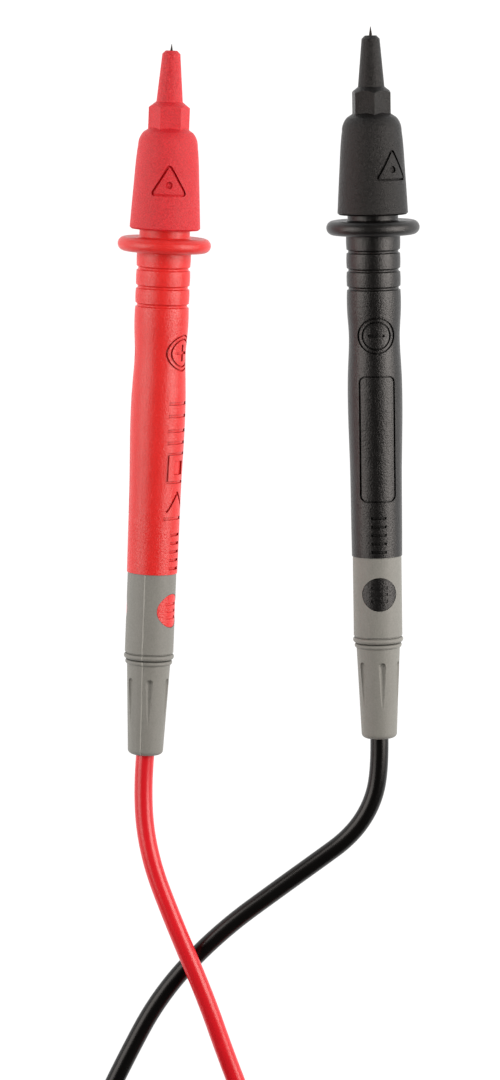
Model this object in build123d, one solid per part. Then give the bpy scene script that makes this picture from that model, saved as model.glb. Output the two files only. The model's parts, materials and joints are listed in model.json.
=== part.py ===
from build123d import *
import math
import os

# A pair of 4 mm multimeter test leads, one red and one black, lying on a table.
# Millimetres, +Z up. Both needle points look along +Y, and the table is z = 0.
# A probe's own frame has +Z along its axis towards the needle, and z = 0 at the middle of its
# finger guard. Its -Y side is the side that faces up before the probe is rolled.
# A plug's own frame has +Z along its axis towards its mouth, and z = 0 at its cable entry.

# ---- driving dimensions ----
CABLE_R = 2.0  # outer radius of the cable's jacket
COPPER_R = 1.0  # stranded copper core
RUN_SHARE = 0.45  # share of the shorter run that an arc of a cord's route may take

# needle
NEEDLE_R = 1.0
NEEDLE_Z = 42.9
NEEDLE_CONE = 5.7
NEEDLE_REAR_Z = -16.0
NEEDLE_FLAT_R = 0.06
COLLAR_R = 1.7
COLLAR_Z = (-8.0, -2.0)

# finger guard and barrel
GUARD_R = 10.05
GUARD_RIM_R = 1.55
GUARD_WEB = 1.25  # half the guard's thickness near the barrel
GUARD_ROOT = 0.78  # reach of the fillets at the guard's root
GUARD_ROOT_MIDDLE = (0.2, 0.22)  # how far a root fillet's middle stands off the neck and the web
NECK_FOOT_Z = 2.0
LAND_TOP_Z = -2.1
NECK_R = 5.45
NECK_Z = 12.0
CONE_Z = 24.3
CONE_R = 2.2
LAND_R = 5.85
GROOVES_Z = (-5.1, -9.1, -13.0)
GROOVE_HALF = 0.43
GROOVE_DEPTH = 0.38
LAND_EDGE = 0.07  # how far a land's edges fall below its crown
LAND_BOW = 0.001
LAST_LAND_BOW = (0.02, 0.6)  # its crown lies lower and nearer to the grooves
GRIP_TOP_Z = -16.5
GRIP_CURVE = ((5.525, -22.7), (5.79, -30.5), (5.67, -50.0))
GRIP_END_R = 5.475
GRIP_END_Z = -71.2
GRIP_END_SLOPE = -0.012
CORE_R = 4.3  # the barrel's tail under the rear sleeve
CORE_END_Z = -88.7
BORE_R = 2.5
TAIL_BORE_R = 3.2
TAIL_BORE_Z = -80.0
MARK_DEPTH = 0.35

# marks moulded into the barrel
RING_Z = -23.0
RING_R = (4.0, 3.15)  # outer edges of its two lines
RING_LINE = 0.4
RING_SIGN = 3.6  # length of the plus or minus
PANEL_Z = (-59.1, -31.6)
PANEL_WIDTH = 7.8
PANEL_CORNER = 1.5
PANEL_LINE = 0.4
BAR_WIDTH = 0.6
TEXT_BARS_Z = (-69.9, -62.5)
TEXT_BARS = 5
TEXT_BAR_LENGTH = 3.4
PAIRED_BARS_Z = (-33.9, -36.6, -39.8, -42.4)
SYMBOL_BAR = (6.8, 0.7)
SQUARE_Z = -47.9
SQUARE = (6.8, 0.6)  # side, and the width of its line
SQUARE_DOT = 3.0
CHEVRON_Z = -55.3
CHEVRON_X = 1.45
CHEVRON_TURN = 35.0
CHEVRON_ARM = (0.6, 5.2)
LAST_BAR_Z = -58.9
BADGE_BARS = (3.6, 1.5)  # length and spacing
BARREL_NOSE = 0.5  # bevel at the barrel's front
BARREL_FACE = 0.6  # width of its front face round the needle

# rear sleeve with its two round windows
SLEEVE_R = 5.3
WINDOW_Z = -79.2
WINDOW_R = 3.7
WINDOW_GAP = 0.08
BADGE_SINK = 0.06

# push-on tip cover
COVER_BASE_Z = 3.3
COVER_BASE_R = 7.6
COVER_EDGE = 0.35
COVER_SIDE = ((7.3, 9.0), (7.0, 14.0), (6.62, 19.5))
COVER_SHOULDER = ((6.42, 21.2), (6.1, 22.85), (5.3, 24.1))
COVER_HEX_CORNER_R = 4.43
COVER_HEX_Z = (22.0, 30.6)
COVER_CONE_TOP = (3.4, 25.35)  # radius and height at which the bell's low cone ends
COVER_CHAMFER = 1.25
COVER_NOSE_BASE_R = 2.85
COVER_NOSE_TIP_R = 1.95
COVER_NOSE_Z = 41.05
COVER_NOSE_EDGE = 0.25
COVER_CROWN_R = 1.25
COVER_CROWN_Z = 41.5
FIT_GAP = 0.05  # running clearance on the neck
NEEDLE_GAP = 0.1
COVER_SOCKET_Z = 12.6
COVER_CONE_END_Z = 25.2
COVER_CONE_END_R = 2.5
TRIANGLE_Z = 13.1
TRIANGLE_R = 4.85
TRIANGLE_CORNER = 0.7
TRIANGLE_LINE = 0.5
DOT_R = 0.75
COVER_MARK_DEPTH = 0.4

# strain relief boot
RELIEF_SPIGOT_Z = -80.5
RELIEF_NECK_R = 5.05
RELIEF_NECK = 0.3
FLANGE_R = 5.46
FLANGE_RIM_R = 0.62
SECOND_RING = (5.12, 0.55)  # its radius, and that of its rim
RING_GROOVE_R = 4.6
RING_GAP = 0.08
BOOT_R = (4.72, 3.87)
BOOT_Z = (-91.4, -111.4)
BOOT_EDGE = 1.0
BOOT_EDGE_MIDDLE = 0.3  # how far the middle of the end's rounding stands off its corner
FLUTES = 6
FLUTE_Z = (-95.2, -110.0)
FLUTE_TURN = 6.0
FLUTE_R = (0.95, 0.12)
FLUTE_LIFT = 0.35

# electrical joint inside the barrel
CRIMP_Z = (-24.0, -10.0)
STRIP_Z = -30.0
COPPER_END_Z = -44.0
SHRINK_Z = (-40.0, -20.0)
SHRINK_WALL = 0.4

# 4 mm shrouded safety plug
PLUG_PIN_R = 2.0
PLUG_PIN_Z = (36.0, 55.0)
PLUG_PIN_NOSE = 0.8
PLUG_SHROUD_R = (3.7, 5.0)
PLUG_LENGTH = 56.0
PLUG_BASE_Z = (32.0, 36.0)
PLUG_GRIP_R = 5.9
PLUG_GRIP_Z = (14.0, 36.0)
PLUG_FRONT_R = 6.2
PLUG_STEM_R = 1.6
PLUG_CRIMP_R = 1.9
PLUG_CRIMP_Z = (20.0, 30.0)
PLUG_STRIP_Z = 19.0
PLUG_BOOT_R = (3.1, 4.3)
PLUG_BOOT_RIBS_Z = (3.0, 6.0, 9.0)
PLUG_BOOT_SLIT = 1.0
PLUG_BOOT_CORE = 0.7  # rubber left round the cable under the slits
PLUG_GRIP_EDGE = 1.0  # bevel at the grip's cable end
PLUG_GRIP_FOOT = 0.2  # how far its foot is under its full radius
PLUG_WAIST = (0.6, 9.0)  # depth, and distance from the cable end
PLUG_FRONT = (3.0, 0.4)  # length of the plain front, and its bevel
PLUG_RINGS = 5
PLUG_RING_STEP = 1.8
PLUG_RING_START = 5.0
PLUG_RING = (0.7, 0.95)  # width, and depth below the full radius
PLUG_SHROUD_EDGE = 0.4
PLUG_CRIMP_FLOOR = 2.0  # solid metal between the crimp barrel's bore and the stem
PLUG_COPPER = 8.0  # copper left in the cable's end
PLUG_SPIGOT_R = 3.4
PLUG_SPIGOT_Z = 18.0
SPRING_SLOT = (1.3, 0.9)  # width and depth
SPRING_Z = (46.2, 53.2)
SPRING_BULGE = 0.15
SPRING_THICK = 0.25
SPRING_GAP = 0.1

# how the two probes lie
GUARD_X = 22.45
GUARD_Y = {"red": 32.15, "black": 35.85}
YAW = {"red": 2.3, "black": -0.95}  # degrees, the needle leans towards +X
BARREL_ROLL = {"red": -120.0, "black": 3.3}
COVER_ROLL = {"red": 6.0, "black": 37.0}
COVER_PUSH = {"red": 0.0, "black": 0.5}  # how much further a cover is pushed on

# hank of spare cable: turns of two straight sides and two round ends
HANK_X = {"red": 17.2, "black": -23.8}
HANK_Y = -199.8
HANK_HALF = 28.0  # half the length of a straight side
HANK_R = (11.0, 19.2)  # inner and outer radius of the round ends
HANK_Z = (0.8, 8.9)
HANK_EDGE = 0.9
TIE_WALL = 0.8
TIE_WIDTH = 9.0
TIE_CORNER = 0.6
END_R = 14.0  # the last fold, which rises to the plug
PLUG_X = -10.8  # the plug's axis from the hank's middle
PLUG_AXIS_Z = 16.0
TOP_TURN_Z = 6.9
END_RUN_X = 17.2
END_RUN = 16.0
END_FOLD_Z = (7.9, 10.0, 13.0, PLUG_AXIS_Z)
PLUG_ENTRY = 6.0  # from the round end's middle to the plug's cable entry

# routes of the free cable from each strain relief to its hank, after a straight run out of it
EXIT_RUN = {"red": 11.5, "black": 7.8}
RED_ROUTE = (
    (-26.1, -102.0, 5.6),
    (-20.9, -115.6, 10.0),
    (-13.8, -132.5, 10.0),
    (-9.3, -146.0, 5.4),
    (-4.6, -158.5, 2.9),
    (-0.6, -170.5, 2.8),
    (0.0, -182.0, 2.8),
)
BLACK_ROUTE = (
    (22.6, -90.9, 3.3),
    (18.1, -97.6, 2.6),
    (10.6, -103.2, 2.15),
    (3.7, -108.2, 2.1),
    (-10.8, -118.9, 2.05),
    (-23.7, -132.5, 2.05),
    (-32.4, -149.0, 2.1),
    (-39.0, -163.0, 2.8),
    (-41.0, -174.0, 2.8),
    (-40.8, -184.0, 2.8),
)


# ---- general helpers ----
def line(*points):
    return Polyline(*points)


def turned(*edges):
    """A solid of revolution about Z from an open outline of (radius, height) edges."""
    outline = Wire([edge for part in edges for edge in part.edges()])
    start = outline @ 0
    end = outline @ 1
    closing = Polyline((end.X, end.Y), (0, end.Y), (0, start.Y), (start.X, start.Y))
    face = make_face([*outline.edges(), *closing.edges()])
    return revolve(Plane.XZ * face, Axis.Z)


def rod(radius, low, high):
    """A cylinder about Z between two heights."""
    align = (Align.CENTER, Align.CENTER, Align.MIN)
    return Pos(0, 0, low) * Cylinder(radius, high - low, align=align)


def cone(low_radius, high_radius, low, high):
    """A cone about Z between two heights."""
    align = (Align.CENTER, Align.CENTER, Align.MIN)
    return Pos(0, 0, low) * Cone(low_radius, high_radius, high - low, align=align)


def through(sketch, z, side=1):
    """A prism of a sketch that cuts in from the -Y side, or from +Y with side -1, up to the axis."""
    plane = Plane(origin=(0, 0, z), x_dir=(side, 0, 0), z_dir=(0, -side, 0))
    return extrude(plane * sketch, amount=2 * COVER_BASE_R)


def outlined(sketch, width):
    """The border of a sketch, of a width, inside its edge."""
    return sketch - offset(sketch, amount=-width)


# ---- probe pieces, in the probe's frame ----
def contact_pin():
    cone_base = NEEDLE_Z - NEEDLE_CONE
    pin = rod(NEEDLE_R, NEEDLE_REAR_Z, cone_base)
    pin += cone(NEEDLE_R, NEEDLE_FLAT_R, cone_base, NEEDLE_Z)
    pin += rod(COLLAR_R, *COLLAR_Z)
    return pin


def guard_outline():
    """From the neck, round the guard's rim, to the first land under it."""
    rim = GUARD_R - GUARD_RIM_R
    neck_fillet = NECK_R + GUARD_ROOT
    land_fillet = LAND_R + GUARD_ROOT
    out, off = GUARD_ROOT_MIDDLE
    return (
        ThreePointArc(
            (NECK_R, NECK_FOOT_Z), (NECK_R + out, GUARD_WEB + off), (neck_fillet, GUARD_WEB)
        ),
        line((neck_fillet, GUARD_WEB), (rim, GUARD_RIM_R)),
        ThreePointArc((rim, GUARD_RIM_R), (GUARD_R, 0), (rim, -GUARD_RIM_R)),
        line((rim, -GUARD_RIM_R), (land_fillet, -GUARD_WEB)),
        ThreePointArc(
            (land_fillet, -GUARD_WEB), (LAND_R + out, -GUARD_WEB - off), (LAND_R, LAND_TOP_Z)
        ),
    )


def lands_outline(depth):
    """The grooved lands under the guard, with rounded grooves between crowned lands."""
    edges = []
    top = LAND_TOP_Z
    edge_r = LAND_R - LAND_EDGE - depth
    for z in GROOVES_Z:
        low = z + GROOVE_HALF
        crown = LAND_R - depth
        start_r = crown if top == LAND_TOP_Z else edge_r
        middle = (crown - LAND_BOW, (top + low) / 2)
        edges.append(ThreePointArc((start_r, top), middle, (edge_r, low)))
        top = z - GROOVE_HALF
        edges.append(ThreePointArc((edge_r, low), (edge_r - GROOVE_DEPTH, z), (edge_r, top)))
    return edges


def grip_outline(depth):
    """The grip below the grooves: a waist, a swelling and a long taper."""
    edge_r = LAND_R - LAND_EDGE - depth
    top = GROOVES_Z[-1] - GROOVE_HALF
    start = (LAND_R - depth, GRIP_TOP_Z)
    waist = [(r - depth, z) for r, z in GRIP_CURVE]
    end = (GRIP_END_R - depth, GRIP_END_Z)
    drop, lift = LAST_LAND_BOW
    return (
        ThreePointArc((edge_r, top), (LAND_R - depth - drop, (top + GRIP_TOP_Z) / 2 + lift), start),
        Spline(start, *waist, end, tangents=((0, -1), (GRIP_END_SLOPE, -1))),
    )


def ring_mark(side, minus):
    """A double ring groove with a plus or a minus in it, on one side of the grip."""
    mark = Rectangle(RING_SIGN, BAR_WIDTH)
    if not minus:
        mark += Rectangle(BAR_WIDTH, RING_SIGN)
    for radius in RING_R:
        mark += Circle(radius) - Circle(radius - RING_LINE)
    return through(mark, RING_Z, side)


def text_bars(side):
    """Short plain bars across the grip near its end."""
    low, high = TEXT_BARS_Z
    step = (high - low) / (TEXT_BARS - 1)
    bars = [Pos(0, i * step) * Rectangle(TEXT_BAR_LENGTH, BAR_WIDTH) for i in range(TEXT_BARS)]
    return through(Sketch() + bars, low, side)


def label_panel():
    """The outline of a long rounded label field."""
    low, high = PANEL_Z
    field = RectangleRounded(PANEL_WIDTH, high - low, PANEL_CORNER)
    return through(outlined(field, PANEL_LINE), (low + high) / 2)


def plain_symbols():
    """Plain moulded shapes on the far side: two pairs of bars, a square, and a chevron on a bar."""
    marks = Sketch()
    for z in (*PAIRED_BARS_Z, LAST_BAR_Z):
        marks += Pos(0, z) * Rectangle(*SYMBOL_BAR)
    side, width = SQUARE
    square = RectangleRounded(side, side, width)
    marks += Pos(0, SQUARE_Z) * outlined(square, width)
    marks += Pos(0, SQUARE_Z) * Rectangle(SQUARE_DOT, SQUARE_DOT)
    for hand in (-1, 1):
        arm = Rot(0, 0, hand * CHEVRON_TURN) * Rectangle(*CHEVRON_ARM)
        marks += Pos(hand * CHEVRON_X, CHEVRON_Z) * arm
    return through(marks, 0, -1)


def badge(side):
    """The round boss that fills a window of the rear sleeve, with raised bars."""
    disc = through(Circle(WINDOW_R - WINDOW_GAP), WINDOW_Z, side)
    length, step = BADGE_BARS
    bars = Sketch() + [Pos(0, y) * Rectangle(length, BAR_WIDTH) for y in (-step, 0, step)]
    shell = rod(SLEEVE_R - BADGE_SINK, CORE_END_Z, GRIP_END_Z)
    low_shell = rod(SLEEVE_R - BADGE_SINK - MARK_DEPTH / 2, CORE_END_Z, GRIP_END_Z)
    return (disc & shell) - (through(bars, WINDOW_Z, side) - low_shell)


def barrel(minus):
    """The rigid body of a probe: nose, neck, finger guard, grooved grip and tail."""
    front = line(
        (NEEDLE_R + BARREL_FACE, CONE_Z),
        (CONE_R, CONE_Z - BARREL_NOSE),
        (NECK_R, NECK_Z),
        (NECK_R, NECK_FOOT_Z),
    )
    tail = line((GRIP_END_R, GRIP_END_Z), (CORE_R, GRIP_END_Z), (CORE_R, CORE_END_Z))
    body = turned(front, *guard_outline(), *lands_outline(0), *grip_outline(0), tail)
    low_grip = turned(*lands_outline(MARK_DEPTH), *grip_outline(MARK_DEPTH))
    marks = [ring_mark(1, minus), ring_mark(-1, minus), text_bars(1), text_bars(-1)]
    marks += [label_panel(), plain_symbols()]
    for mark in marks:
        body -= mark - low_grip
    body += badge(1)
    body += badge(-1)
    body -= rod(NEEDLE_R, COLLAR_Z[1], CONE_Z + 1)
    body -= rod(COLLAR_R, *COLLAR_Z)
    body -= rod(BORE_R, TAIL_BORE_Z, COLLAR_Z[0])
    return body - rod(TAIL_BORE_R, CORE_END_Z, TAIL_BORE_Z)


def rear_sleeve():
    """The soft sleeve over the barrel's tail, with a round window on two sides."""
    sleeve = rod(SLEEVE_R, CORE_END_Z, GRIP_END_Z) - rod(CORE_R, CORE_END_Z, GRIP_END_Z)
    for side in (1, -1):
        sleeve -= through(Circle(WINDOW_R), WINDOW_Z, side)
    return sleeve


def cover_outside():
    """The tip cover's outer shape: bell, chamfered hexagon and tapered nose."""
    base = COVER_BASE_Z
    side = Spline((COVER_BASE_R, base + COVER_EDGE), *COVER_SIDE, COVER_SHOULDER[0])
    bell = turned(
        line((COVER_BASE_R - COVER_EDGE, base), (COVER_BASE_R, base + COVER_EDGE)),
        side,
        ThreePointArc(*COVER_SHOULDER),
        line(COVER_SHOULDER[2], COVER_CONE_TOP),
    )
    low, high = COVER_HEX_Z
    hexagon = Pos(0, 0, low) * extrude(RegularPolygon(COVER_HEX_CORNER_R, 6), high - low)
    foot = high - COVER_CHAMFER
    chamfer = cone(COVER_HEX_CORNER_R, COVER_NOSE_BASE_R, foot, high)
    chamfer += rod(COVER_HEX_CORNER_R, low, foot)
    nose = cone(COVER_NOSE_BASE_R, COVER_NOSE_TIP_R, high, COVER_NOSE_Z - COVER_NOSE_EDGE)
    tip_r = COVER_NOSE_TIP_R - COVER_NOSE_EDGE
    nose += cone(COVER_NOSE_TIP_R, tip_r, COVER_NOSE_Z - COVER_NOSE_EDGE, COVER_NOSE_Z)
    nose += cone(tip_r, COVER_CROWN_R, COVER_NOSE_Z, COVER_CROWN_Z)
    return bell + (hexagon & chamfer) + nose


def cover_mark():
    """A rounded triangle with a dot, cut a little into the bell."""
    triangle = RegularPolygon(TRIANGLE_R, 3, rotation=90)
    triangle = fillet(triangle.vertices(), TRIANGLE_CORNER)
    mark = outlined(triangle, TRIANGLE_LINE) + Circle(DOT_R)
    inner = [(r - COVER_MARK_DEPTH, z) for r, z in COVER_SIDE]
    start = (COVER_BASE_R - COVER_MARK_DEPTH, COVER_BASE_Z)
    end = (COVER_SHOULDER[0][0] - COVER_MARK_DEPTH, COVER_SHOULDER[0][1])
    return through(mark, TRIANGLE_Z) - turned(Spline(start, *inner, end))


def tip_cover():
    """The push-on cover that leaves only the needle's point bare."""
    cover = cover_outside() - cover_mark()
    cover -= rod(NECK_R + FIT_GAP, COVER_BASE_Z, COVER_SOCKET_Z)
    cover -= cone(NECK_R + FIT_GAP, COVER_CONE_END_R, COVER_SOCKET_Z, COVER_CONE_END_Z)
    return cover - rod(NEEDLE_R + NEEDLE_GAP, COVER_CONE_END_Z, COVER_CROWN_Z)


def flute(angle):
    """One teardrop dimple along the boot, deep at its round end and running out to a point."""
    high, low = FLUTE_Z
    length = high - low
    slope = (BOOT_R[0] - BOOT_R[1]) / (BOOT_Z[0] - BOOT_Z[1])
    surface_r = BOOT_R[0] - slope * (BOOT_Z[0] - low)
    drop = cone(FLUTE_R[1], FLUTE_R[0], 0, length) + Pos(0, 0, length) * Sphere(FLUTE_R[0])
    leaned = Pos(surface_r + FLUTE_LIFT, 0, low) * Rot(0, math.degrees(math.atan(slope)), 0) * drop
    return Rot(0, 0, angle) * leaned


def strain_relief():
    """The flexible boot with its two rings, and the spigot that sits in the barrel's tail."""
    shoulder = CORE_END_Z - RELIEF_NECK
    flange_z = shoulder - FLANGE_RIM_R
    flange_end = flange_z - FLANGE_RIM_R
    ring_r, rim = SECOND_RING
    ring_z = flange_end - RING_GAP - rim
    end_r = BOOT_R[1]
    low = BOOT_Z[1]
    boot = turned(
        line((TAIL_BORE_R, RELIEF_SPIGOT_Z), (TAIL_BORE_R, CORE_END_Z)),
        line((TAIL_BORE_R, CORE_END_Z), (RELIEF_NECK_R, CORE_END_Z)),
        line((RELIEF_NECK_R, CORE_END_Z), (RELIEF_NECK_R, shoulder)),
        line((RELIEF_NECK_R, shoulder), (FLANGE_R - FLANGE_RIM_R, shoulder)),
        ThreePointArc(
            (FLANGE_R - FLANGE_RIM_R, shoulder),
            (FLANGE_R, flange_z),
            (FLANGE_R - FLANGE_RIM_R, flange_end),
        ),
        line((FLANGE_R - FLANGE_RIM_R, flange_end), (RING_GROOVE_R, flange_end)),
        line((RING_GROOVE_R, flange_end), (ring_r - rim, ring_z + rim)),
        ThreePointArc((ring_r - rim, ring_z + rim), (ring_r, ring_z), (BOOT_R[0], ring_z - rim)),
        line((BOOT_R[0], ring_z - rim), (end_r, low + BOOT_EDGE)),
        ThreePointArc(
            (end_r, low + BOOT_EDGE),
            (end_r - BOOT_EDGE_MIDDLE, low + BOOT_EDGE_MIDDLE),
            (end_r - BOOT_EDGE, low),
        ),
    )
    boot -= rod(CABLE_R, low, RELIEF_SPIGOT_Z)
    for i in range(FLUTES):
        boot -= flute((i + 0.5) * 360 / FLUTES + FLUTE_TURN)
    return boot


def pin_crimp():
    """The crimp tube that joins the needle to the copper."""
    return rod(COLLAR_R, *CRIMP_Z) - rod(NEEDLE_R, *CRIMP_Z)


def conductor():
    """The bared copper, from the needle's rear into the cable."""
    return rod(COPPER_R, COPPER_END_Z, NEEDLE_REAR_Z)


def heat_shrink():
    """The shrunk tube over the crimp and the start of the jacket."""
    low, high = SHRINK_Z
    thick = CABLE_R + SHRINK_WALL
    thin = COLLAR_R + SHRINK_WALL
    tube = rod(thick, low, STRIP_Z) + cone(thick, thin, STRIP_Z, CRIMP_Z[0])
    tube += rod(thin, CRIMP_Z[0], high)
    tube -= rod(CABLE_R, low, STRIP_Z)
    tube -= cone(CABLE_R, COLLAR_R, STRIP_Z, CRIMP_Z[0])
    return tube - rod(COLLAR_R, CRIMP_Z[0], high)


def cable_tail():
    """The stretch of cable inside the barrel and the boot."""
    return rod(CABLE_R, BOOT_Z[1], STRIP_Z) - rod(COPPER_R, COPPER_END_Z, STRIP_Z)


# ---- plug pieces, in the plug's frame ----
def plug_strain_relief():
    low_r, high_r = PLUG_BOOT_R
    boot = cone(low_r, high_r, 0, PLUG_GRIP_Z[0])
    boot += rod(PLUG_SPIGOT_R, PLUG_GRIP_Z[0], PLUG_SPIGOT_Z)
    for z in PLUG_BOOT_RIBS_Z:
        core = rod(CABLE_R + PLUG_BOOT_CORE, z, z + PLUG_BOOT_SLIT)
        boot -= rod(PLUG_GRIP_R, z, z + PLUG_BOOT_SLIT) - core
    return boot - rod(CABLE_R, 0, PLUG_SPIGOT_Z)


def plug_grip():
    low, high = PLUG_GRIP_Z
    foot = (PLUG_GRIP_R - PLUG_GRIP_FOOT, low + PLUG_GRIP_EDGE)
    waist = (PLUG_GRIP_R - PLUG_WAIST[0], low + PLUG_WAIST[1])
    front, bevel = PLUG_FRONT
    grip = turned(
        line((PLUG_GRIP_R - PLUG_GRIP_EDGE, low), foot),
        Spline(foot, waist, (PLUG_FRONT_R, high - front), tangents=((0, 1), (0.1, 1))),
        line(
            (PLUG_FRONT_R, high - front),
            (PLUG_FRONT_R, high - bevel),
            (PLUG_FRONT_R - bevel, high),
        ),
    )
    width, depth = PLUG_RING
    for i in range(PLUG_RINGS):
        ring = low + PLUG_RING_START + PLUG_RING_STEP * i
        core = rod(PLUG_GRIP_R - depth, ring, ring + width)
        grip -= rod(PLUG_FRONT_R, ring, ring + width) - core
    grip -= rod(PLUG_SPIGOT_R, low, PLUG_SPIGOT_Z)
    grip -= rod(CABLE_R, PLUG_SPIGOT_Z, PLUG_CRIMP_Z[0])
    grip -= rod(PLUG_CRIMP_R, PLUG_CRIMP_Z[0], PLUG_CRIMP_Z[1])
    grip -= rod(PLUG_STEM_R, PLUG_CRIMP_Z[1], PLUG_BASE_Z[0])
    return grip - rod(PLUG_SHROUD_R[1], *PLUG_BASE_Z)


def plug_shroud():
    """The fixed insulating sleeve round the plug's pin, with its base in the grip."""
    inner, outer = PLUG_SHROUD_R
    base, face = PLUG_BASE_Z
    mouth = PLUG_LENGTH - PLUG_SHROUD_EDGE
    shroud = rod(outer, base, mouth)
    shroud += cone(outer, outer - PLUG_SHROUD_EDGE, mouth, PLUG_LENGTH)
    return shroud - rod(inner, face, PLUG_LENGTH) - rod(PLUG_STEM_R, base, face)


def plug_pin():
    """The 4 mm contact with its stem, its crimp barrel and a slot for the leaf spring."""
    low, high = PLUG_PIN_Z
    pin = rod(PLUG_PIN_R, low, high - PLUG_PIN_NOSE)
    pin += cone(PLUG_PIN_R, PLUG_PIN_R - PLUG_PIN_NOSE, high - PLUG_PIN_NOSE, high)
    pin += rod(PLUG_STEM_R, PLUG_CRIMP_Z[1], low)
    pin += rod(PLUG_CRIMP_R, *PLUG_CRIMP_Z)
    pin -= rod(COPPER_R, PLUG_CRIMP_Z[0], PLUG_CRIMP_Z[1] - PLUG_CRIMP_FLOOR)
    width, depth = SPRING_SLOT
    bottom, top = SPRING_Z
    slot = Box(width, depth + 1, top - bottom, align=(Align.CENTER, Align.MAX, Align.MIN))
    return pin - Pos(0, -PLUG_PIN_R + depth, bottom) * slot


def plug_spring():
    """The bowed leaf in the pin's slot, which presses on the socket."""
    bottom, top = SPRING_Z
    middle = (bottom + top) / 2
    floor_r = PLUG_PIN_R - SPRING_SLOT[1]
    crown_r = PLUG_PIN_R + SPRING_BULGE
    first, last = bottom + SPRING_GAP, top - SPRING_GAP
    end_r = floor_r + SPRING_THICK
    outer = ThreePointArc((end_r, first), (crown_r, middle), (end_r, last))
    inner = ThreePointArc((floor_r, last), (crown_r - SPRING_THICK, middle), (floor_r, first))
    ends = (line(outer @ 1, inner @ 0), line(inner @ 1, outer @ 0))
    leaf = make_face([*outer.edges(), *ends[0].edges(), *inner.edges(), *ends[1].edges()])
    width = SPRING_SLOT[0] - 2 * SPRING_GAP
    return Rot(0, 0, -90) * extrude(Plane.XZ * leaf, amount=width / 2, both=True)


def plug_conductor():
    return rod(COPPER_R, PLUG_STRIP_Z - PLUG_COPPER, PLUG_CRIMP_Z[1] - PLUG_CRIMP_FLOOR)


def plug_tail():
    """The stretch of cable inside the plug."""
    core = rod(COPPER_R, PLUG_STRIP_Z - PLUG_COPPER, PLUG_STRIP_Z)
    return rod(CABLE_R, 0, PLUG_STRIP_Z) - core


# ---- free cable ----
def corner_radii(points):
    """The radius at each corner of a route: as large as its two runs allow."""
    radii = []
    for before, corner, after in zip(points, points[1:], points[2:]):
        first = Vector(*corner) - Vector(*before)
        second = Vector(*after) - Vector(*corner)
        half_turn = math.radians(first.get_angle(second)) / 2
        radii.append(RUN_SHARE * min(first.length, second.length) / math.tan(half_turn))
    return radii


def tube(name, points):
    """A cable along straight runs joined by tangent arcs."""
    radii = corner_radii(points)
    path = FilletPolyline(*points, radius=radii)
    profile = Plane(origin=path @ 0, z_dir=path % 0) * Circle(CABLE_R)
    swept = sweep(profile, path=path)
    expected = math.pi * CABLE_R**2 * path.length
    print(name, "length", round(path.length, 1), "volume share", round(swept.volume / expected, 4))
    print("  radii", [round(r, 1) for r in radii])
    runs = [(Vector(*b) - Vector(*a)).length for a, b in zip(points, points[1:])]
    print("  runs", [round(run, 1) for run in runs])
    return swept


def stadium(radius):
    """The outline of one turn of the hank: two straight sides and two round ends."""
    return SlotCenterToCenter(2 * HANK_HALF, 2 * radius, rotation=90)


def hank(lead):
    """The outer shape of the wound turns."""
    low, high = HANK_Z
    ring = extrude(stadium(HANK_R[1]) - stadium(HANK_R[0]), amount=high - low)
    rims = ring.faces().sort_by(Axis.Z)
    ring = chamfer(rims[0].edges() + rims[-1].edges(), HANK_EDGE)
    return Pos(HANK_X[lead], HANK_Y, low) * ring


def hank_tie(lead):
    """A flat strap round the middle of the hank."""
    low, high = HANK_Z
    wide = 2 * HANK_R[1]
    middle = (low + high) / 2
    outer = RectangleRounded(wide + 2 * TIE_WALL, high - low + 2 * TIE_WALL, TIE_CORNER + TIE_WALL)
    band = extrude(outer - RectangleRounded(wide, high - low, TIE_CORNER), amount=TIE_WIDTH)
    return Pos(HANK_X[lead], HANK_Y + TIE_WIDTH / 2, middle) * Rot(90, 0, 0) * band


def end_route(lead):
    """The last fold of the cable, which rises from the hank's top turn to the plug."""
    run_x = HANK_X[lead] + END_RUN_X
    turn_x = run_x - END_R
    top = HANK_Y + HANK_HALF
    points = [(run_x, top - END_RUN, TOP_TURN_Z)]
    step = math.pi / len(END_FOLD_Z)
    corner_r = END_R / math.cos(step / 2)
    for i, z in enumerate(END_FOLD_Z):
        angle = step * (i + 0.5)
        points.append((turn_x + corner_r * math.cos(angle), top + corner_r * math.sin(angle), z))
    points.append((HANK_X[lead] + PLUG_X, top - PLUG_ENTRY, PLUG_AXIS_Z))
    return points


# ---- placing ----
def resting_tilt():
    """The tilt and height at which a probe rests on its guard's rim and its boot's flange."""
    span = -(CORE_END_Z - RELIEF_NECK - FLANGE_RIM_R)
    reach = GUARD_R - GUARD_RIM_R - (FLANGE_R - FLANGE_RIM_R)
    lift = GUARD_RIM_R - FLANGE_RIM_R
    tilt = math.asin(lift / math.hypot(span, reach)) + math.atan2(reach, span)
    height = (GUARD_R - GUARD_RIM_R) * math.cos(tilt) + GUARD_RIM_R
    return tilt, height


def probe_axis(lead):
    tilt, _ = resting_tilt()
    yaw = math.radians(YAW[lead])
    flat = math.cos(tilt)
    return Vector(math.sin(yaw) * flat, math.cos(yaw) * flat, math.sin(tilt))


def probe_frame(lead, roll):
    _, height = resting_tilt()
    axis = probe_axis(lead)
    x = -GUARD_X if lead == "red" else GUARD_X
    plane = Plane(origin=(x, GUARD_Y[lead], height), x_dir=(axis.Y, -axis.X, 0), z_dir=axis)
    return plane.location * Rot(0, 0, roll)


def plug_frame(lead):
    entry = end_route(lead)[-1]
    return Plane(origin=entry, x_dir=(1, 0, 0), z_dir=(0, -1, 0)).location


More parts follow.
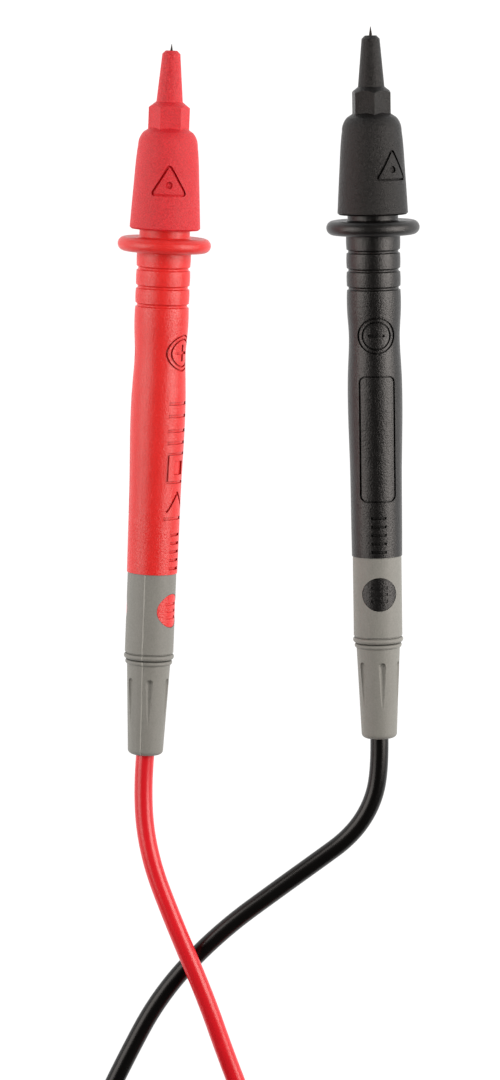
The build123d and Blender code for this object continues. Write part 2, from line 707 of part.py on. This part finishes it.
def cable_route(lead):
    """The free route: the boot's end, a straight run along the probe's axis, and the listed points."""
    exit_point = (probe_frame(lead, 0) * Pos(0, 0, BOOT_Z[1])).position
    first_corner = exit_point - probe_axis(lead) * EXIT_RUN[lead]
    rest = RED_ROUTE if lead == "red" else BLACK_ROUTE
    return [tuple(exit_point), tuple(first_corner), *rest]


def write(name, shape):
    shape.label = name
    export_step(shape, f"parts/{name}.step")


def write_lead(lead):
    minus = lead == "black"
    barrel_frame = probe_frame(lead, BARREL_ROLL[lead])
    probe = {
        "contact_pin": contact_pin(),
        "barrel": barrel(minus),
        "rear_sleeve": rear_sleeve(),
        "strain_relief": strain_relief(),
        "pin_crimp": pin_crimp(),
        "conductor": conductor(),
        "heat_shrink": heat_shrink(),
        "cable_tail": cable_tail(),
    }
    for name, shape in probe.items():
        write(f"{lead}_{name}", barrel_frame * shape)
    seat = Pos(0, 0, -COVER_PUSH[lead])
    write(f"{lead}_tip_cover", probe_frame(lead, COVER_ROLL[lead]) * seat * tip_cover())
    plug = {
        "plug_strain_relief": plug_strain_relief(),
        "plug_grip": plug_grip(),
        "plug_shroud": plug_shroud(),
        "plug_pin": plug_pin(),
        "plug_spring": plug_spring(),
        "plug_conductor": plug_conductor(),
        "plug_tail": plug_tail(),
    }
    for name, shape in plug.items():
        write(f"{lead}_{name}", plug_frame(lead) * shape)
    write(f"{lead}_cable", tube(f"{lead}_cable", cable_route(lead)))
    write(f"{lead}_cable_hank", hank(lead))
    write(f"{lead}_cable_end", tube(f"{lead}_cable_end", end_route(lead)))
    write(f"{lead}_hank_tie", hank_tie(lead))
    axis = probe_axis(lead)
    print(lead, "probe axis", [round(v, 6) for v in axis])
    print(lead, "exit", [round(v, 3) for v in cable_route(lead)[0]])
    print(lead, "plug entry", [round(v, 3) for v in end_route(lead)[-1]])


def main():
    os.makedirs("parts", exist_ok=True)
    tilt, height = resting_tilt()
    print("tilt", round(math.degrees(tilt), 3), "guard centre height", round(height, 3))
    for lead in ("red", "black"):
        write_lead(lead)


main()
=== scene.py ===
import json
import math

import bmesh
import bpy
from mathutils import Matrix, Vector


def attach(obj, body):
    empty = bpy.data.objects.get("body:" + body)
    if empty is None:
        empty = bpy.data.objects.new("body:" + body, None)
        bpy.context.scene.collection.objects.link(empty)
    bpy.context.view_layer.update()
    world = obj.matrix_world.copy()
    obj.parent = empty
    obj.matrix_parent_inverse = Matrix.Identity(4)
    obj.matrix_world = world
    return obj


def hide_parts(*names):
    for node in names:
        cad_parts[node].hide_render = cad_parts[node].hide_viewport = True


# A red and a black multimeter test lead on a pale table. Lengths are metres unless a name ends in
# _MM: the outlines and routes are in millimetres, as on a drawing, and MM turns them into metres.

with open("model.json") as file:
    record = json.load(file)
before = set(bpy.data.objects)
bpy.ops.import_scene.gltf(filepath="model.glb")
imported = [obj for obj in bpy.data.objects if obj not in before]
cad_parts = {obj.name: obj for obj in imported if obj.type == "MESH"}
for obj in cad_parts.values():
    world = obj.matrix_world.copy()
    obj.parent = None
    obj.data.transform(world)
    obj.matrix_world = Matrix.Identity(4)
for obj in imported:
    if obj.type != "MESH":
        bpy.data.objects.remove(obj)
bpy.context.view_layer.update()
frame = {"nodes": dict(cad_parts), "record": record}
MM = 0.001
LEADS = ("red", "black")

# ---- the probes, in millimetres ----
# Each axis runs from a point at the middle of the finger guard towards the needle. The parting
# lines of the moulds lie in a plane through the axis, at this angle from straight up.
GUARD_AT_MM = {"red": (-22.45, 32.15, 10.04), "black": (22.45, 35.85, 10.04)}
PARTING_DEG = {"red": -15.0, "black": 93.0}
AXIS = {}
for joint in frame["record"]["behaviour"]["joints"]:
    if joint["name"].endswith("tip_cover_pull"):
        AXIS[joint["name"].split("_")[0]] = Vector(joint["axis"]).normalized()

# ---- cables ----
CABLE_R = 0.002
TURN_STEP_MM = 4.15  # from one turn of the hank to the next
END_STEPS = 6  # points on each round end of a turn
HANK_X_MM = {"red": 17.2, "black": -23.8}
HANK_Y_MM = -199.8
HANK_HALF_MM = 28.0
HANK_R_MM = 13.0  # the inner turn
LOW_MM = 2.8
HIGH_MM = 6.95
END_R_MM = 14.0
TIE_HALF_MM = 19.2  # half the width inside a tie
TIE_MM = (0.8, 8.9)  # lowest and highest height inside it
TIE_WIDTH_MM = 9.0
TIE_THICK_MM = 0.75
TIE_CORNER_MM = 2.4
TIE_CORNER_STEPS = 6
TIE_LAP_MM = 15.0  # how far the strap's end laps over its start
TIE_LAP_STEPS = 8
TIE_LAP_SPAN = (0.62, -0.5)  # where the lapped end starts and stops, in laps from the middle
TIE_LAP_GAP_MM = 0.05
TIE_LAP_CLIMB = 6.0  # the lapped end is up on the start after a sixth of its way
TIE_LOOSE_FROM = 0.75  # from here on it lifts off again, by a share of its thickness
TIE_LOOSE_LIFT = 0.35
TIE_END_WIDTHS = (0.45, 0.8, 0.95)  # of the full width, from the very end
TIE_SECTION = ((0, -1), (0.82, -1), (1, -0.94), (1, 0.94), (0.82, 1), (0, 1))  # height, side
FOLD_START_MM = 16.0  # how far before the end of the hank the last fold starts
PLUG_X_MM = -10.8
PLUG_AXIS_MM = 16.0
PLUG_ENTRY_MM = 6.0
RED_ROUTE_MM = (
    (-26.92, -79.02, 4.34),
    (-27.75, -88.6, 3.8),
    (-26.1, -102.0, 4.6),
    (-20.9, -115.6, 6.3),
    (-13.8, -132.5, 6.3),
    (-9.3, -146.0, 4.2),
    (-4.6, -158.5, 2.9),
    (-0.6, -170.5, 2.8),
)
BLACK_ROUTE_MM = (
    (24.3, -75.39, 4.34),
    (24.43, -83.18, 3.94),
    (22.6, -90.9, 3.3),
    (18.1, -97.6, 2.6),
    (10.6, -103.2, 2.15),
    (3.7, -108.2, 2.1),
    (-10.8, -118.9, 2.05),
    (-23.7, -132.5, 2.05),
    (-32.4, -149.0, 2.1),
    (-39.0, -163.0, 2.8),
    (-41.0, -174.0, 2.8),
)

# ---- camera ----
CAMERA_AT = (-0.0040, 0.0445, 0.920)
CAMERA_LOOKS_AT = (-0.0040, -0.0320, 0.006)
LENS_MM = 140.6

# ---- light ----
BOX_X = 0.55
BOX_Y = 0.11
BOX_Z = 0.32
BOX_SIZE = (0.66, 0.46)
LEFT_W = 4.2
RIGHT_W = 6.3
WARM = (1.0, 0.93, 0.88)
WORLD = 0.05
FLOOR_SIZE = 40.0
FLOOR_GLOW = 1.0
FLOOR_DARK = (0.08, 0.08, 0.08)
FLOOR_PALE = (0.1, 0.1, 0.1)

# ---- materials ----
RED = (0.73, 0.0240, 0.0215)
BLACK = (0.0028, 0.0026, 0.0025)
RED_COVER = (0.66, 0.0130, 0.0215)
BLACK_COVER = (0.0030, 0.0026, 0.0024)
GREY = (0.222, 0.224, 0.206)
RED_JACKET = (0.72, 0.0110, 0.0190)
BLACK_JACKET = (0.0020, 0.0018, 0.0017)
NEEDLE = (0.035, 0.032, 0.03)
NICKEL = (0.72, 0.69, 0.63)
BRASS = (0.75, 0.56, 0.26)
COPPER = (0.86, 0.42, 0.24)
SHRINK = (0.008, 0.008, 0.008)
STRAP = (0.022, 0.022, 0.025)
# The scale of each surface's noises: the higher it is, the finer the pattern.
SCALE = {
    "plastic": {"cloud": 90.0, "speck": 3000.0, "gloss": 900.0, "grain": 2500.0, "dents": 260.0},
    "eroded": {"speck": 3400.0, "gloss": 1500.0, "grain": 2600.0, "dents": 700.0},
    "rubber": {"dust": 2600.0, "cloud": 200.0, "seam": 800.0, "gloss": 700.0, "grain": 3600.0},
    "jacket": {"smear": 60.0, "gloss": 220.0, "dents": 500.0},
    "metal": {"marks": 900.0},
    "weave": {"threads": 560.0},
    "floor": {"cloud": 3.0},
}
# The depth of each surface's bumps, and how far the painted shade in grooves and under edges reaches, in
# metres.
DEPTH = {
    "plastic": {"grain": 0.0001, "dents": 0.00006, "groove": 0.0009},
    "eroded": {"grain": 0.00022, "dents": 0.00005, "groove": 0.001},
    "rubber": {"grain": 0.00004, "seam": 0.0002, "groove": 0.0011},
    "jacket": {"dents": 0.000012},
    "metal": {"marks": 0.000004},
    "weave": {"threads": 0.00015},
}
SEAM_MM = (0.09, 0.24)  # a parting line is full up to the first distance and gone at the second
# The painted shade in grooves and under edges fades out between these two shares of open sky.
OPEN = (0.35, 0.85)  # the share of open sky in a groove and on an open surface
GLOSS = 0.5
# The specular level in grooves and under edges, turned down there as part of the painted shade.
GROOVE_GLOSS = 0.12


# ---- camera and light ----
def add_camera():
    data = bpy.data.cameras.new("camera")
    data.lens = LENS_MM
    camera = bpy.data.objects.new("camera", data)
    bpy.context.collection.objects.link(camera)
    camera.location = CAMERA_AT
    back = (Vector(CAMERA_AT) - Vector(CAMERA_LOOKS_AT)).normalized()
    right = Vector((0, 1, 0)).cross(back).normalized()
    up = back.cross(right)
    camera.rotation_euler = Matrix((right, up, back)).transposed().to_euler()
    bpy.context.scene.camera = camera


def add_area(name, place, target, size, power):
    data = bpy.data.lights.new(name, "AREA")
    data.shape = "RECTANGLE"
    data.size, data.size_y = size
    data.energy = power
    data.color = WARM
    light = bpy.data.objects.new(name, data)
    bpy.context.collection.objects.link(light)
    light.location = place
    light.rotation_euler = (Vector(place) - Vector(target)).to_track_quat("Z", "Y").to_euler()


def add_light():
    """Two long soft boxes left and right, which leave a darker band along the top of each barrel."""
    for name, side, power in (("softbox_left", -1, LEFT_W), ("softbox_right", 1, RIGHT_W)):
        add_area(name, (side * BOX_X, BOX_Y, BOX_Z), (0, BOX_Y, 0.0), BOX_SIZE, power)
    world = bpy.data.worlds.new("world")
    world.use_nodes = True
    background = world.node_tree.nodes["Background"]
    background.inputs["Color"].default_value = (1.0, 1.0, 1.0, 1.0)
    background.inputs["Strength"].default_value = WORLD
    bpy.context.scene.world = world
    bpy.context.scene.view_settings.view_transform = "Standard"


def add_floor(n):
    """The lit white table that the leads lie on, bright enough to hold no shadow."""
    bpy.ops.mesh.primitive_plane_add(size=FLOOR_SIZE, location=(0, 0, 0))
    floor = bpy.context.object
    floor.name = "floor"
    tone = n.ramp(n.noise(SCALE["floor"]["cloud"]), (0.3, FLOOR_DARK), (0.7, FLOOR_PALE))
    n.link(tone, n.shader.inputs["Base Color"])
    n.set(Roughness=0.9, Emission_Color=(1, 1, 1, 1), Emission_Strength=FLOOR_GLOW)
    floor.data.materials.append(n.material)


# ---- materials ----
class Nodes:
    """A short way to write a node material."""

    def __init__(self, name):
        self.material = bpy.data.materials.new(name)
        self.material.use_nodes = True
        self.tree = self.material.node_tree
        self.shader = self.tree.nodes["Principled BSDF"]
        self.place = self.add("ShaderNodeTexCoord").outputs["Object"]

    def add(self, kind, **values):
        node = self.tree.nodes.new(kind)
        for key, value in values.items():
            setattr(node, key, value)
        return node

    def link(self, source, target):
        self.tree.links.new(source, target)

    def noise(self, scale, detail=2.0, rough=0.5, stretch=(1, 1, 1)):
        place = self.place
        if stretch != (1, 1, 1):
            mapping = self.add("ShaderNodeMapping")
            mapping.inputs["Scale"].default_value = stretch
            self.link(place, mapping.inputs["Vector"])
            place = mapping.outputs["Vector"]
        node = self.add("ShaderNodeTexNoise")
        node.inputs["Scale"].default_value = scale
        node.inputs["Detail"].default_value = detail
        node.inputs["Roughness"].default_value = rough
        self.link(place, node.inputs["Vector"])
        return node.outputs["Fac"]

    def plain(self, colour):
        node = self.add("ShaderNodeRGB")
        node.outputs["Color"].default_value = (*colour, 1.0)
        return node.outputs["Color"]

    def ramp(self, fac, *stops):
        """One colour below the first of two stops, another above the second."""
        node = self.add("ShaderNodeValToRGB")
        for element, (at, colour) in zip(node.color_ramp.elements, stops):
            element.position = at
            element.color = (*colour, 1.0)
        self.link(fac, node.inputs["Fac"])
        return node.outputs["Color"]

    def shades(self, fac, colour, dark, pale, dark_at=0.3, pale_at=0.7):
        """A colour that gets darker and paler with a factor."""
        return self.ramp(fac, (dark_at, shaded(colour, dark)), (pale_at, shaded(colour, pale)))

    def spread(self, fac, low, high, start=0.0, end=1.0, shape="LINEAR"):
        """A number that goes from low to high while a factor goes from start to end."""
        node = self.add("ShaderNodeMapRange", interpolation_type=shape)
        node.inputs["From Min"].default_value = start
        node.inputs["From Max"].default_value = end
        node.inputs["To Min"].default_value = low
        node.inputs["To Max"].default_value = high
        self.link(fac, node.inputs["Value"])
        return node.outputs["Result"]

    def math(self, operation, *values):
        """A sum of outputs of other nodes and plain numbers."""
        node = self.add("ShaderNodeMath", operation=operation)
        for value, socket in zip(values, node.inputs):
            if isinstance(value, float):
                socket.default_value = value
            else:
                self.link(value, socket)
        return node.outputs["Value"]

    def bump(self, height, distance, before=None):
        """A normal bent by a height, on top of the bumps before it."""
        node = self.add("ShaderNodeBump")
        node.inputs["Strength"].default_value = 1.0
        node.inputs["Distance"].default_value = distance
        self.link(height, node.inputs["Height"])
        if before is not None:
            self.link(before, node.inputs["Normal"])
        return node.outputs["Normal"]

    def mixed(self, first, second, fac=None):
        """Two colours mixed by a factor, or in equal parts."""
        node = self.add("ShaderNodeMix", data_type="RGBA")
        if fac is not None:
            self.link(fac, node.inputs["Factor"])
        self.link(first, node.inputs["A"])
        self.link(second, node.inputs["B"])
        return node.outputs["Result"]

    def crevice(self, distance):
        """0 in a groove or under an edge, 1 on an open surface; the mask for the painted shade."""
        node = self.add("ShaderNodeAmbientOcclusion", samples=8)
        node.inputs["Distance"].default_value = distance
        return self.spread(node.outputs["AO"], 0.0, 1.0, *OPEN, "SMOOTHSTEP")

    def set(self, **values):
        for key, value in values.items():
            self.shader.inputs[key.replace("_", " ")].default_value = value


def shaded(colour, factor):
    """A colour made darker or paler."""
    return tuple(min(1.0, c * factor) for c in colour)


def paint_groove_shade(n, colour, painted_shade, depth, gloss=GLOSS):
    """Paints shade into the grooves of a moulding and under its edges: a darker colour and less gloss
    where the ambient occlusion finds them.
    """
    # The darker colour and the lower gloss in grooves, creases and under edges are painted shade.
    open_share = n.crevice(depth)
    n.link(n.mixed(n.plain(painted_shade), colour, open_share), n.shader.inputs["Base Color"])
    n.link(n.spread(open_share, GROOVE_GLOSS, gloss), n.shader.inputs["Specular IOR Level"])


def plastic(name, colour, rough=(0.28, 0.38), painted_shade=0.5):
    """Moulded plastic: a slight cloudiness, a leathery grain and an uneven gloss."""
    n = Nodes(name)
    scale, depth = SCALE["plastic"], DEPTH["plastic"]
    cloud = n.shades(n.noise(scale["cloud"], 3.0), colour, 0.95, 1.05)
    speck = n.shades(n.noise(scale["speck"], 2.0, 0.7), colour, 0.88, 1.12, 0.36, 0.64)
    # Painted shade: the grooves and the surface under edges are darkened to a share of the colour.
    paint_groove_shade(n, n.mixed(cloud, speck), shaded(colour, painted_shade), depth["groove"])
    n.link(n.spread(n.noise(scale["gloss"], 4.0, 0.6), *rough), n.shader.inputs["Roughness"])
    normal = n.bump(n.noise(scale["grain"], 3.0, 0.7), depth["grain"])
    normal = n.bump(n.noise(scale["dents"], 2.0), depth["dents"], before=normal)
    n.link(normal, n.shader.inputs["Normal"])
    return n.material


def eroded(name, colour, rough=(0.40, 0.56), spark=0.16, gloss=GLOSS, painted_shade=0.5):
    """The coarse, sparkling matte of a spark-eroded mould."""
    n = Nodes(name)
    scale, depth = SCALE["eroded"], DEPTH["eroded"]
    speck = n.shades(n.noise(scale["speck"], 2.0, 0.7), colour, 1 - spark, 1 + spark, 0.36, 0.64)
    # Painted shade: the grooves and the surface under edges are darkened to a share of the colour.
    paint_groove_shade(n, speck, shaded(colour, painted_shade), depth["groove"], gloss)
    n.link(n.spread(n.noise(scale["gloss"], 2.0), *rough), n.shader.inputs["Roughness"])
    normal = n.bump(n.noise(scale["grain"], 3.0, 0.75), depth["grain"])
    normal = n.bump(n.noise(scale["dents"], 3.0, 0.7), depth["dents"], before=normal)
    n.link(normal, n.shader.inputs["Normal"])
    return n.material


def rubber(name, colour):
    """Soft grey rubber: matte, faintly dusty, with the raised parting lines of its mould, which carry a
    painted highlight.
    """
    n = Nodes(name)
    scale, depth = SCALE["rubber"], DEPTH["rubber"]
    dust = n.shades(n.noise(scale["dust"], 3.0, 0.7), colour, 0.84, 1.13, 0.34, 0.68)
    cloud = n.shades(n.noise(scale["cloud"], 4.0, 0.6), colour, 0.95, 1.05)
    # Painted highlight: the parting lines are painted paler, the way a ridge catching the light looks;
    # the ridge itself is a real bump.
    pale = n.shades(n.noise(scale["seam"]), colour, 1.4, 1.8, 0.0, 1.0)
    lined = n.mixed(dust, cloud)
    normal = n.bump(n.noise(scale["grain"], 3.0, 0.65), depth["grain"])
    for lead in LEADS:
        mask = parting(n, lead)
        lined = n.mixed(lined, pale, mask)
        normal = n.bump(mask, depth["seam"], before=normal)
    # Painted shade: the grooves and the rubber under edges are darkened to 0.42 of the grey.
    paint_groove_shade(n, lined, shaded(colour, 0.42), depth["groove"])
    n.link(n.spread(n.noise(scale["gloss"], 3.0), 0.48, 0.64), n.shader.inputs["Roughness"])
    n.link(normal, n.shader.inputs["Normal"])
    return n.material


def jacket(name, colour, gloss):
    """Soft cable jacket: smooth and glossy, with faint smears along it."""
    n = Nodes(name)
    scale, depth = SCALE["jacket"], DEPTH["jacket"]
    smear = n.shades(n.noise(scale["smear"], 3.0), colour, 0.92, 1.08, 0.3, 0.72)
    n.link(smear, n.shader.inputs["Base Color"])
    n.link(n.spread(n.noise(scale["gloss"], 4.0, 0.6), 0.24, 0.33), n.shader.inputs["Roughness"])
    n.link(n.bump(n.noise(scale["dents"], 2.0), depth["dents"]), n.shader.inputs["Normal"])
    n.set(Specular_IOR_Level=gloss)
    return n.material


def metal(name, colour, rough):
    """Turned or drawn metal with fine marks."""
    n = Nodes(name)
    marks = n.noise(SCALE["metal"]["marks"], 3.0, 0.6, stretch=(1, 6, 1))
    n.link(n.shades(marks, colour, 0.85, 1.1), n.shader.inputs["Base Color"])
    n.link(n.spread(marks, *rough), n.shader.inputs["Roughness"])
    n.link(n.bump(marks, DEPTH["metal"]["marks"]), n.shader.inputs["Normal"])
    n.set(Metallic=1.0)
    return n.material


def weave(name, colour):
    """A woven strap: fine crossing threads."""
    n = Nodes(name)
    heights = []
    for direction in ("X", "Y"):
        wave = n.add("ShaderNodeTexWave", wave_type="BANDS", bands_direction=direction)
        wave.inputs["Scale"].default_value = SCALE["weave"]["threads"]
        wave.inputs["Distortion"].default_value = 0.6
        n.link(n.place, wave.inputs["Vector"])
        heights.append(wave.outputs["Fac"])
    threads = n.math("MULTIPLY", *heights)
    n.link(n.shades(threads, colour, 0.6, 1.7, 0.1, 0.7), n.shader.inputs["Base Color"])
    n.link(n.bump(threads, DEPTH["weave"]["threads"]), n.shader.inputs["Normal"])
    n.set(Roughness=0.85, Sheen_Weight=0.3)
    return n.material


def parting(n, lead):
    """A mask that is 1 on the line where a lead's mould halves met, and on that lead only."""
    axis = AXIS[lead]
    side = axis.cross(Vector((0, 0, 1))).normalized()
    up = side.cross(axis)
    turn = math.radians(PARTING_DEG[lead])
    across = side * math.cos(turn) - up * math.sin(turn)
    dot = n.add("ShaderNodeVectorMath", operation="DOT_PRODUCT")
    n.link(n.place, dot.inputs[0])
    dot.inputs[1].default_value = across
    offset = n.math("SUBTRACT", dot.outputs["Value"], across.dot(Vector(GUARD_AT_MM[lead])) * MM)
    full, gone = (distance * MM for distance in SEAM_MM)
    line = n.spread(n.math("ABSOLUTE", offset), 1.0, 0.0, full, gone, "SMOOTHSTEP")
    parts = n.add("ShaderNodeSeparateXYZ")
    n.link(n.place, parts.inputs["Vector"])
    here = n.math("LESS_THAN" if lead == "red" else "GREATER_THAN", parts.outputs["X"], 0.0)
    return n.math("MULTIPLY", line, here)


def make_materials():
    """A material for every slot in the record, under the slot's name."""
    return {
        # The factors given for the grooves set how dark their painted shade is; at 1.0 only the gloss is
        # turned down there.
        "red_grip": plastic("red_grip", RED, painted_shade=0.6),
        "black_grip": plastic("black_grip", BLACK),
        "red_cover": eroded("red_cover", RED_COVER, painted_shade=1.0),
        "black_cover": eroded("black_cover", BLACK_COVER, rough=(0.30, 0.44), spark=0.6, gloss=0.34),
        "grey_rubber": rubber("grey_rubber", GREY),
        "red_jacket": jacket("red_jacket", RED_JACKET, 0.5),
        "black_jacket": jacket("black_jacket", BLACK_JACKET, 0.3),
        "needle_steel": metal("needle_steel", NEEDLE, (0.3, 0.42)),
        "nickel": metal("nickel", NICKEL, (0.16, 0.3)),
        "brass": metal("brass", BRASS, (0.2, 0.36)),
        "copper": metal("copper", COPPER, (0.25, 0.4)),
        "shrink_tube": plastic("shrink_tube", SHRINK, rough=(0.4, 0.5)),
        "strap": weave("strap", STRAP),
    }


def dress_nodes(materials):
    """Gives every CAD node the material of its slot in the record."""
    slots = {s["node"]: s["material_slot"] for s in frame["record"]["subparts"]}
    for node, obj in frame["nodes"].items():
        obj.data.materials.clear()
        obj.data.materials.append(materials[slots[node]])


# ---- cables ----
def half_ring(x, y, radius, z0, z1, start):
    """Control points of a half turn, anticlockwise from an angle, whose curve keeps to the radius."""
    out = radius / math.cos(math.pi / END_STEPS / 2)
    points = []
    for i in range(END_STEPS):
        share = (i + 0.5) / END_STEPS
        angle = start + math.pi * share
        points.append((x + out * math.cos(angle), y + out * math.sin(angle), z0 + (z1 - z0) * share))
    return points


def add_cable(lead, route):
    """The whole free cable: its route to the hank, the turns, and the last fold up to the plug."""
    x, y = HANK_X_MM[lead], HANK_Y_MM
    top, bottom = y + HANK_HALF_MM, y - HANK_HALF_MM
    inner, outer = HANK_R_MM, HANK_R_MM + TURN_STEP_MM
    points = list(route)
    turns = ((outer, LOW_MM), (inner, LOW_MM), (inner, HIGH_MM), (outer, HIGH_MM))
    for (radius, z), after in zip(turns, turns[1:] + (None,)):
        points += half_ring(x, bottom, radius, z, z, math.pi)
        if after:
            points += half_ring(x, top, (radius + after[0]) / 2, z, after[1], 0.0)
    turn_x = x + outer - END_R_MM
    points.append((x + outer, top - FOLD_START_MM, HIGH_MM))
    points += half_ring(turn_x, top, END_R_MM, HIGH_MM, PLUG_AXIS_MM, 0.0)
    points.append((x + PLUG_X_MM, top - PLUG_ENTRY_MM, PLUG_AXIS_MM))

    data = bpy.data.curves.new(f"{lead}_free_cable", "CURVE")
    data.dimensions = "3D"
    data.bevel_depth = CABLE_R
    data.bevel_resolution = 8
    data.resolution_u = 10
    spline = data.splines.new("NURBS")
    spline.points.add(len(points) - 1)
    for point, (px, py, pz) in zip(spline.points, points):
        point.co = (px * MM, py * MM, pz * MM, 1.0)
    spline.order_u = 3
    spline.use_endpoint_u = True
    cable = bpy.data.objects.new(f"{lead}_free_cable", data)
    bpy.context.collection.objects.link(cable)
    return cable


def tie_path():
    """The strap's inner line in the XZ plane, anticlockwise from the top, with its outward directions."""
    low, high = TIE_MM
    corners = ((-1, high, 90), (-1, low, 180), (1, low, 270), (1, high, 0))
    path = [(-TIE_LAP_MM / 2, high, 0.0, 1.0)]
    for side, z, start in corners:
        x = side * (TIE_HALF_MM - TIE_CORNER_MM)
        z += TIE_CORNER_MM if z == low else -TIE_CORNER_MM
        for step in range(TIE_CORNER_STEPS + 1):
            angle = math.radians(start + 90 * step / TIE_CORNER_STEPS)
            out_x, out_z = math.cos(angle), math.sin(angle)
            path.append((x + TIE_CORNER_MM * out_x, z + TIE_CORNER_MM * out_z, out_x, out_z))
    lap_from, lap_to = TIE_LAP_SPAN
    for step in range(TIE_LAP_STEPS + 1):
        share = step / TIE_LAP_STEPS
        x = TIE_LAP_MM * (lap_from + (lap_to - lap_from) * share)
        rise = (TIE_THICK_MM + TIE_LAP_GAP_MM) * min(1.0, share * TIE_LAP_CLIMB)
        loose = max(0.0, share - TIE_LOOSE_FROM) / (1.0 - TIE_LOOSE_FROM)
        path.append((x, high + rise + TIE_THICK_MM * TIE_LOOSE_LIFT * loose, 0.0, 1.0))
    return path


def add_tie(lead):
    """The hook and loop strap round the hank, with a lapped, rounded end."""
    mesh = bmesh.new()
    rows = []
    path = tie_path()
    half = TIE_WIDTH_MM / 2
    for i, (x, z, out_x, out_z) in enumerate(path):
        left = len(path) - 1 - i
        taper = TIE_END_WIDTHS[left] if left < len(TIE_END_WIDTHS) else 1.0
        row = []
        for height, side in TIE_SECTION:
            place = (
                HANK_X_MM[lead] + x + out_x * TIE_THICK_MM * height,
                HANK_Y_MM + side * half * taper,
                z + out_z * TIE_THICK_MM * height,
            )
            row.append(mesh.verts.new([c * MM for c in place]))
        rows.append(row)
    for first, second in zip(rows, rows[1:]):
        for i in range(len(TIE_SECTION)):
            j = (i + 1) % len(TIE_SECTION)
            mesh.faces.new((first[i], first[j], second[j], second[i]))
    mesh.faces.new(rows[0])
    mesh.faces.new(rows[-1][::-1])
    bmesh.ops.recalc_face_normals(mesh, faces=mesh.faces)
    data = bpy.data.meshes.new(f"{lead}_tie")
    mesh.to_mesh(data)
    mesh.free()
    data.shade_smooth()
    tie = bpy.data.objects.new(f"{lead}_tie", data)
    bpy.context.collection.objects.link(tie)
    return tie


def main():
    add_camera()
    routes = {"red": RED_ROUTE_MM, "black": BLACK_ROUTE_MM}
    cables = {lead: add_cable(lead, routes[lead]) for lead in LEADS}
    add_light()
    materials = make_materials()
    dress_nodes(materials)
    for lead, cable in cables.items():
        cable.data.materials.append(materials[f"{lead}_jacket"])
        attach(cable, f"{lead}_lead")
        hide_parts(f"{lead}_cable", f"{lead}_cable_hank", f"{lead}_cable_end")
        tie = add_tie(lead)
        tie.data.materials.append(materials["strap"])
        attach(tie, f"{lead}_lead")
        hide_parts(f"{lead}_hank_tie")
    add_floor(Nodes("floor"))


main()
